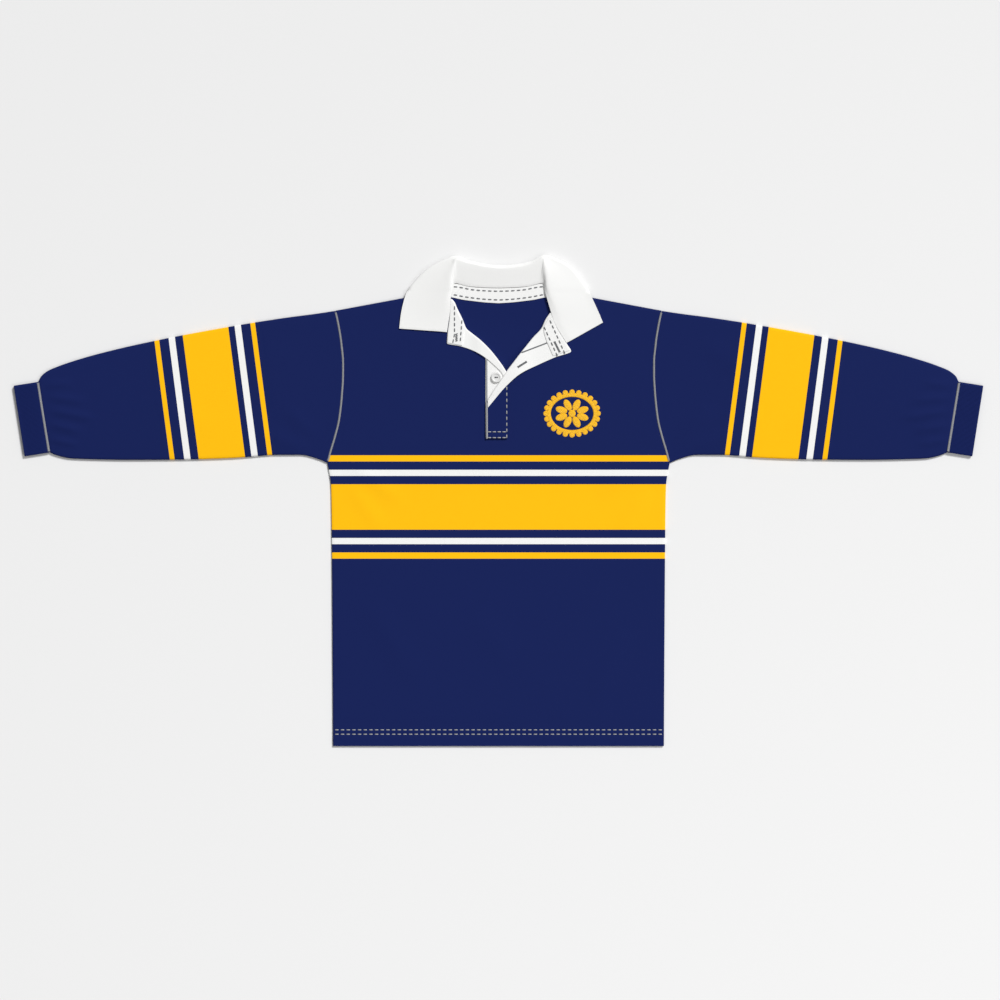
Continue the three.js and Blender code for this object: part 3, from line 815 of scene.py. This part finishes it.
sections = []
for at in np.linspace(0, len(COLLAR["turn"]) - 1, COLLAR_STATIONS):
    row = {name: float(rounded(np.array(at), column)) for name, column in COLLAR.items()}
    row["turn"] = min(1, max(0, row["turn"]))
    row["lap"] = min(1, max(0, row["lap"]))
    reach = FLAT_ARC + FLAT_END
    for _ in range(3):
        reach += collar_section(row, reach)[1]
    sections.append(collar_section(row, reach)[0])
collar = cloth("Collar", [np.stack(sections)], COLLAR_TWILL, bevel=0.6)
dress(collar, twill, "white_twill", "collar")

# Neck tape: a white twill strip that covers the seam along the inside of the back neck. It lies on
# the back panel below the collar, with a row of stitches along each edge.
TAPE = 0.8
NECK_TAPE_REACH = 81
NECK_TAPE_FLARE = 0.02
NECK_STITCH_REACH = 76
NECK_TAPE = table("x upper lower", [
    [0, 361.3, 335.8],
    [22, 361.9, 337.2],
    [45, 363.6, 339.8],
    [60, 366.8, 341.8],
    [69.5, 368.4, 343.8],
    [74.5, 368.6, 345.0],
    [NECK_TAPE_REACH, 367.6, 346.0],
])


def tape_y(x, share):
    """A height on the tape: share is 0 at its upper edge and 1 at its lower one."""
    upper = flow(np.abs(x), NECK_TAPE["x"], NECK_TAPE["upper"])
    lower = flow(np.abs(x), NECK_TAPE["x"], NECK_TAPE["lower"])
    return mix(upper, lower, share)


tape_x, down = np.meshgrid(np.linspace(-1, 1, 81) * NECK_TAPE_REACH, np.linspace(0, 1, 13))
panel_y = tape_y(tape_x, down)
tape_x = tape_x * (1 + NECK_TAPE_FLARE * (down - 0.5))
panel_z = back_top(tape_x, panel_y) + GAP + TAPE / 2
neck_tape = cloth("NeckTape", [np.stack([tape_x, panel_y, panel_z], axis=2)], TAPE, bevel=0.2)
dress(neck_tape, twill, "white_twill", "neck_tape")


def tape_top(x, y):
    return back_top(x, y) + GAP + TAPE


grey_thread = Finish("Grey thread", 0.6, gloss=0.2)
grey_thread.colour((0.17, 0.175, 0.185, 1))
tape_threads = []
for share in (0.2, 0.78):
    reach = np.linspace(-NECK_STITCH_REACH, NECK_STITCH_REACH, 60)
    tape_threads += running(np.stack([reach, tape_y(reach, share)], axis=1), tape_top)
tape_stitches = sewn("NeckTapeStitches", tape_threads, grey_thread, "thread")

# Underlap: the white facing on the wearer's right side of the slit, which carries the button. It
# lies on the front, and narrows upwards along the right front's roll.
UNDERLAP_LEFT = -22.1
UNDERLAP = table("right y", [
    [13.6, 106.7],
    [13.6, 211],
    [6.3, 222],
    [-0.5, 232],
    [-8.5, 243],
    [-17.5, 250],
])


def underlap_top(x, y):
    return front_top(x, y) + GAP + TWILL


t, panel_y = np.meshgrid(np.linspace(0, 1, 13), np.linspace(UNDERLAP["y"][-1], UNDERLAP["y"][0], 49))
panel_x = mix(UNDERLAP_LEFT, np.interp(panel_y, UNDERLAP["y"], UNDERLAP["right"]), t)
panel_z = front_top(panel_x, panel_y) + GAP + TWILL / 2
underlap = cloth("Underlap", [np.stack([panel_x, panel_y, panel_z], axis=2)], TWILL)
dress(underlap, twill, "white_twill", "placket_under")

# Overlap: a navy jersey strip on the wearer's left side of the slit, closed below with a stitched
# box. Its upper edge runs slantwise, where the left facing turns back from it.
OVERLAP = {
    "left": -21.9,
    "left_top": -21.2,
    "right": 15.3,
    "foot": 105.8,
    "left_y": 165.3,
    "right_y": 212.1,
}
PIXEL = 1.7
PHOTO_MIDDLE = (498.5, 500.75)


def overlap_point(across, up):
    """A point of the strip from shares across it and up it."""
    x = mix(mix(OVERLAP["left"], OVERLAP["left_top"], up), OVERLAP["right"], across)
    y = mix(OVERLAP["foot"], mix(OVERLAP["left_y"], OVERLAP["right_y"], across), up)
    return x, y


def overlap_top(x, y):
    return underlap_top(x, y) + GAP + JERSEY


across, up = np.meshgrid(np.linspace(0, 1, 13), np.linspace(0, 1, 37))
panel_x, panel_y = overlap_point(across, up)
panel_z = overlap_top(panel_x, panel_y) - JERSEY / 2
overlap = cloth("Overlap", [np.stack([panel_x, panel_y, panel_z], axis=2)], JERSEY)
dress(overlap, body_jersey, "navy_jersey", "placket_over")


def drawn(*spots):
    """Straight lines through points given on the photo's own pixels."""
    middle_x, middle_y = PHOTO_MIDDLE
    return [((px - middle_x) * PIXEL, (middle_y - py) * PIXEL) for px, py in spots]


def placket_edge_top(x, y):
    """The surface along the slit's edge: the overlap below, and the underlap above it."""
    return underlap_top(x, y) + (GAP + JERSEY) * ease((170 - y) / 6)


placket_threads = running(drawn((506.7, 386.7), (506.7, 438.2)), overlap_top)
placket_threads += running(drawn((487.6, 431.9), (505.8, 431.9)), overlap_top)
placket_threads += running(drawn((487.6, 437.7), (505.8, 437.7)), overlap_top)
edge_line = drawn((486.6, 359.5), (487.0, 438.6))
placket_threads += zigzag(edge_line, placket_edge_top, half_width=1.5, pitch=1.0, radius=0.45)
placket_stitches = sewn("PlacketStitches", placket_threads, pale_thread, "thread")

# Facings: the white insides of the two fronts, turned back like lapels along the open neck. Each
# lies flat on what is below it, and rolls over its fold down into the neck.
FACING_RIGHT = table("roll_x roll_y free_x free_y base", [
    [-79.0, 342.6, -81.6, 342.0, 0],
    [-74.3, 337, -81.6, 336, 0],
    [-70.0, 326.8, -82.0, 326.0, 0],
    [-61.5, 309.8, -83.8, 305.4, 0],
    [-54.4, 293.0, -86.6, 284.6, 0],
    [-43.9, 283.8, -87.6, 267.8, 0],
    [-31.1, 273.6, -66.3, 263.1, 0],
    [-14.4, 257.0, -43.4, 255.3, 0],
    [-0.8, 240.1, -21.2, 242.3, 0],
    [7.6, 228.6, -6.0, 229.2, 0],
    [12.0, 221.8, 4.6, 218.6, 1],
    [16.0, 216.4, 8.5, 211.5, 1],
])
FACING_LEFT = table("roll_x roll_y free_x free_y base", [
    [87.2, 318.8, 90.4, 319.6, 0],
    [79.8, 308, 92.2, 311.4, 0],
    [72.8, 293.0, 98.4, 295.8, 0],
    [58.5, 277.4, 108.8, 278.4, 0],
    [47.6, 263.9, 117.4, 265.0, 0],
    [37.6, 251.3, 123.4, 254.0, 0],
    [25.5, 235.4, 96.4, 243.9, 0],
    [15.4, 222.2, 67.5, 231.1, 1],
    [6.8, 208.7, 37.2, 215.8, 1],
    [-8.3, 187.1, 12.9, 194.6, 1],
    [-18.4, 171.3, -18.0, 158.2, 1],
])
ROLL_RADIUS = 1.5


def under_right_facing(x, y):
    return front_top(x, y) + (GAP + TWILL) * ease((x + 50) / 20)


def under_left_facing(x, y):
    return front_top(x, y) + (2 * GAP + TWILL + JERSEY) * ease((64 - x) / 34)


def facing(name, rows, bed):
    """A strip that lies on the bed and rolls down over its fold into the neck."""
    half = TWILL / 2
    last = len(rows["base"]) - 1
    sections = []
    for at in np.linspace(0, last, 6 * last + 1):
        row = {key: float(flow(at, np.arange(last + 1), column)) for key, column in rows.items()}
        roll = np.array([row["roll_x"], row["roll_y"]])
        inward = np.array([row["free_x"], row["free_y"]]) - roll
        width = np.linalg.norm(inward)
        inward = inward / width
        section = []
        for away in np.linspace(width, half + ROLL_RADIUS, 11):
            x, y = roll + inward * away
            section.append([x, y, bed(x, y) + GAP + half])
        brow = section[-1][2]
        for turn in np.linspace(0, math.pi / 2, 7)[1:]:
            x, y = roll + inward * (half + ROLL_RADIUS * (1 - math.sin(turn)))
            section.append([x, y, brow - ROLL_RADIUS * (1 - math.cos(turn))])
        x, y, z = section[-1]
        ground = mix(back_top(x, y), underlap_top(x, y), row["base"])
        foot = min(z - 0.3, ground + 0.5)
        section.extend([x, y, mix(z, foot, t)] for t in (0.5, 1))
        sections.append(section)
    return cloth(name, [np.array(sections)], TWILL)


def buttonhole(path, surface):
    """Two close columns of stitches with a bar across each end."""
    (x0, y0), (x1, y1) = path
    run = np.array([x1 - x0, y1 - y0]) / math.hypot(x1 - x0, y1 - y0)
    aside = np.array([-run[1], run[0]])
    threads = []
    for shift in (-0.85, 0.85):
        column = [np.array(end) + aside * shift for end in path]
        threads += zigzag(column, surface, half_width=0.75, pitch=0.85, radius=0.36)
    for end in path:
        bar = [np.array(end) - aside * 1.7, np.array(end) + aside * 1.7]
        threads += zigzag(bar, surface, half_width=0.8, pitch=0.8, radius=0.36)
    return threads


def left_facing_top(x, y):
    return under_left_facing(x, y) + GAP + TWILL


facing_threads = buttonhole(drawn((518.1, 367.2), (526.4, 361.9)), left_facing_top)
seam_line = drawn((521.7, 352.7), (547.4, 342.8))
facing_threads += zigzag(seam_line, left_facing_top, half_width=1.0, pitch=1.0, radius=0.42)
facing_stitches = sewn("FacingStitches", facing_threads, grey_thread, "thread")
facing_right = facing("FacingRight", FACING_RIGHT, under_right_facing)
facing_left = facing("FacingLeft", FACING_LEFT, under_left_facing)
for piece, node, size, area, stitches in (
    (facing_right, "facing_right", (0.046, 0.160), 0.0039, []),
    (facing_left, "facing_left", (0.088, 0.200), 0.0060, [facing_stitches]),
):
    dress(piece, twill, "white_twill", node)

# Tape ends: the two ends of the neck tape, stitched down over the facings beside the collar. The
# right one also has a bar of stitches, and the left one a buttonhole.
TAPE_RIGHT = table("outer_x outer_y inner_x inner_y", [
    [-81.6, 341, -80.2, 341],
    [-81.8, 333, -75.8, 333],
    [-82.4, 318, -68.4, 318],
    [-83.3, 306, -62.6, 306],
    [-85.6, 290, -58.4, 292],
    [-86.3, 278, -59.3, 279],
    [-86.6, 268.6, -61.4, 263.8],
])
TAPE_LEFT = table("outer_x outer_y inner_x inner_y", [
    [91.6, 311.0, 84.6, 309.4],
    [97.6, 296.6, 76.9, 291.6],
    [107.6, 279.4, 80.2, 275.6],
    [115.8, 266.4, 86.0, 261.6],
    [121.6, 256.0, 92.8, 246.2],
])


def tape_end_top(bed, x, y):
    return bed(x, y) + GAP + TWILL + GAP + TAPE


def tape_end(name, rows, bed):
    last = len(rows["outer_x"]) - 1
    at = np.linspace(0, last, 8 * last + 1)
    curve = {key: flow(at, np.arange(last + 1), column) for key, column in rows.items()}
    t = np.linspace(0, 1, 9)[None, :]
    x = mix(curve["outer_x"][:, None], curve["inner_x"][:, None], t)
    y = mix(curve["outer_y"][:, None], curve["inner_y"][:, None], t)
    z = tape_end_top(bed, x, y) - TAPE / 2
    return cloth(name, [np.stack([x, y, z], axis=2)], TAPE, bevel=0.2)


tape_right = tape_end("TapeEndRight", TAPE_RIGHT, under_right_facing)
tape_left = tape_end("TapeEndLeft", TAPE_LEFT, under_left_facing)


def right_end_top(x, y):
    return tape_end_top(under_right_facing, x, y)


def left_end_top(x, y):
    return tape_end_top(under_left_facing, x, y)


right_threads = running(drawn((454.6, 306.3), (454.6, 334.5), (452.9, 342.8)), right_end_top)
right_threads += running(drawn((462, 320.4), (460.4, 341.1)), right_end_top)
bar_line = drawn((456.6, 333.5), (456.6, 341.5))
right_threads += zigzag(bar_line, right_end_top, half_width=2.2, pitch=3.2, radius=0.6)
right_stitches = sewn("RightEndStitches", right_threads, grey_thread, "thread")
left_threads = running(drawn((544.1, 327), (557.4, 356)), left_end_top)
left_threads += running(drawn((549.9, 320.4), (564.9, 353.6)), left_end_top)
left_threads += buttonhole(drawn((554.6, 342), (559.6, 351.9)), left_end_top)
left_stitches = sewn("LeftEndStitches", left_threads, grey_thread, "thread")
for piece, node, size, area, bed, stitches in (
    (tape_right, "neck_tape_right", (0.026, 0.077), 0.0014, "FacingRight", right_stitches),
    (tape_left, "neck_tape_left", (0.031, 0.063), 0.0015, "FacingLeft", left_stitches),
):
    dress(piece, twill, "white_twill", node)

# Button: a turned resin button with a raised rim and two holes, sewn to the underlap. It is shaped
# from a plain disc, and two loops of thread pass over its middle from hole to hole.
BUTTON_X = -3.9
BUTTON_Y = 209.4
BUTTON_RADIUS = 8.5
BUTTON_THICKNESS = 3
BUTTON_HOLE = 1.1
BUTTON_HOLE_OFFSET = 1.9
BUTTON_RIM = 2.4
BUTTON_SINK = 0.9
BUTTON_STAND = GAP + 0.1

resin = Finish("Resin", 0.3, gloss=0.5)
resin.colour((0.72, 0.72, 0.71, 1))

button_z = float(underlap_top(BUTTON_X, BUTTON_Y)) + BUTTON_STAND
bpy.ops.object.select_all(action="DESELECT")
bpy.ops.mesh.primitive_cylinder_add(
    vertices=64,
    radius=BUTTON_RADIUS * MM,
    depth=BUTTON_THICKNESS * MM,
    location=(BUTTON_X * MM, BUTTON_Y * MM, (button_z + BUTTON_THICKNESS / 2) * MM),
)
button = bpy.context.object
button.name = "SewnButton"
bpy.ops.object.transform_apply(location=True)
bpy.ops.object.mode_set(mode="EDIT")
bpy.ops.mesh.select_all(action="DESELECT")
shape = bmesh.from_edit_mesh(button.data)
for face in shape.faces:
    face.select_set(face.normal.z > 0.9)
bmesh.update_edit_mesh(button.data)
bpy.ops.mesh.inset(thickness=BUTTON_RIM * MM)
bpy.ops.mesh.inset(thickness=BUTTON_SINK * MM, depth=-BUTTON_SINK * MM)
bpy.ops.object.mode_set(mode="OBJECT")
for side in (-1, 1):
    bpy.ops.object.select_all(action="DESELECT")
    bpy.ops.mesh.primitive_cylinder_add(
        vertices=24,
        radius=BUTTON_HOLE * MM,
        depth=0.02,
        location=((BUTTON_X + side * BUTTON_HOLE_OFFSET) * MM, BUTTON_Y * MM, button_z * MM),
    )
    drill = bpy.context.object
    hole = button.modifiers.new("Hole", "BOOLEAN")
    hole.operation = "DIFFERENCE"
    hole.object = drill
    hole.solver = "EXACT"
    bpy.context.view_layer.objects.active = button
    bpy.ops.object.modifier_apply(modifier="Hole")
    bpy.data.objects.remove(drill)
round_edges(button, 0.35, segments=3, limit=40)
dress(button, resin, "button", "button")

button_threads = []
for side in (-1, 1):
    x = BUTTON_X + np.linspace(-1, 1, 7) * (BUTTON_HOLE_OFFSET + 0.3)
    y = np.full(7, BUTTON_Y + side * 0.45)
    drop = np.array([-2.4, -0.6, 0.25, 0.4, 0.25, -0.6, -2.4])
    z = button_z + BUTTON_THICKNESS - BUTTON_SINK + 0.2 + drop
    button_threads.append(tube(np.stack([x, y, z], axis=1), 0.42, tips=False))
sewn("ButtonThread", button_threads, grey_thread, "thread")

# Badge: a generic roundel embroidered in gold thread on the wearer's left chest. Every part of it
# is a raised cushion of close satin stitches, sewn straight onto the jersey.
BADGE_X = 125
BADGE_Y = 148.3
BADGE_WIDE = 49
BADGE_HIGH = 41
PETALS = 8
SCALLOPS = 24
SCALLOP_INSET = 4.6

gold_thread = Finish("Gold embroidery", 0.5, gloss=0.3)
place_x, place_y = gold_thread.place()
gold_thread.colour(GOLD)
gold_thread.relief(((place_x * 0.8 + place_y * 1.2) * math.tau).sin(), 0.2, 0.6)


def cushion(centre_x, centre_y, length, width, angle, rise, steps=20, rings=4):
    """An oval raised leaf of stitches on the front."""
    turn = np.arange(steps) * math.tau / steps
    vertices = []
    for ring in range(rings):
        share = math.cos(math.pi / 2 * ring / rings)
        a = np.cos(turn) * length / 2 * share
        b = np.sin(turn) * width / 2 * share
        x = BADGE_X + centre_x + a * math.cos(angle) - b * math.sin(angle)
        y = BADGE_Y + centre_y + a * math.sin(angle) + b * math.cos(angle)
        z = front_top(x, y) + rise * math.sqrt(1 - share * share) - (0.1 if ring == 0 else 0)
        vertices.append(np.stack([x, y, z], axis=1))
    faces = []
    for ring in range(rings - 1):
        for k in range(steps):
            n = (k + 1) % steps
            low, high = ring * steps, (ring + 1) * steps
            faces.append((low + k, low + n, high + n, high + k))
    faces.append(tuple((rings - 1) * steps + k for k in range(steps)))
    faces.append(tuple(range(steps))[::-1])
    return np.vstack(vertices), faces


def satin_ring(reach, half_width, rise, steps=96):
    """A raised ring of stitches, reach inside the badge's outline."""
    turn = np.arange(steps) * math.tau / steps
    across = np.linspace(-1, 1, 7)
    vertices = []
    for share in across:
        x = BADGE_X + np.cos(turn) * (BADGE_WIDE - reach + share * half_width)
        y = BADGE_Y + np.sin(turn) * (BADGE_HIGH - reach + share * half_width)
        z = front_top(x, y) + rise * math.sqrt(1 - share * share) - 0.05
        vertices.append(np.stack([x, y, z], axis=1))
    count = len(across)
    faces = []
    for ring in range(count):
        for k in range(steps):
            n = (k + 1) % steps
            low, high = ring * steps, (ring + 1) % count * steps
            faces.append((low + n, low + k, high + k, high + n))
    return np.vstack(vertices), faces


motifs = [cushion(0, 0, 13, 13, 0, 1.0), satin_ring(9.5, 3.6, 0.8)]
for k in range(PETALS):
    angle = (k + 0.5) * math.tau / PETALS
    spot_x, spot_y = math.cos(angle) * 19.5, math.sin(angle) * 15.5
    motifs.append(cushion(spot_x, spot_y, 21, 12, math.atan2(spot_y, spot_x), 0.8))
for k in range(SCALLOPS):
    angle = k * math.tau / SCALLOPS
    spot_x = math.cos(angle) * (BADGE_WIDE - SCALLOP_INSET)
    spot_y = math.sin(angle) * (BADGE_HIGH - SCALLOP_INSET)
    motifs.append(cushion(spot_x, spot_y, 9.2, 9.6, angle, 0.8))
sewn("Badge", motifs, gold_thread, "badge")

# Floor, light and camera: a plain pale floor, a soft sun with a weak fill and an even sky, and the
# camera straight above, as in the photo.
FLOOR_DROP = 0.0004

bpy.ops.object.select_all(action="DESELECT")
bpy.ops.mesh.primitive_plane_add(size=12, location=(0, 0, -FLOOR_DROP))
floor = bpy.context.object
floor.name = "Floor"
paper = Finish("Paper", 0.95)
paper.colour((0.82, 0.82, 0.82, 1))
floor.data.materials.append(paper.material)

key = bpy.data.lights.new("Key", "SUN")
key.energy = 2.95
key.angle = math.radians(14)
key_light = linked("Key", key)
key_light.rotation_euler = (math.radians(-36), math.radians(34), 0)
fill = bpy.data.lights.new("Fill", "AREA")
fill.energy = 60
fill.size = 3
fill_light = linked("Fill", fill)
fill_light.location = (2.6, -2.2, 4.4)
fill_light.rotation_euler = (-fill_light.location).to_track_quat("-Z", "Y").to_euler()

world = bpy.data.worlds.new("Room")
world.use_nodes = True
world.node_tree.nodes["Background"].inputs["Color"].default_value = (1, 1, 1, 1)
world.node_tree.nodes["Background"].inputs["Strength"].default_value = 0.3
bpy.context.scene.world = world

lens_data = bpy.data.cameras.new("Camera")
lens_data.lens = 100
lens_data.sensor_width = 36
camera = linked("Camera", lens_data)
camera.location = (0.00255, 0.001275, 4.727)
bpy.context.scene.camera = camera
bpy.context.scene.view_settings.view_transform = "Standard"
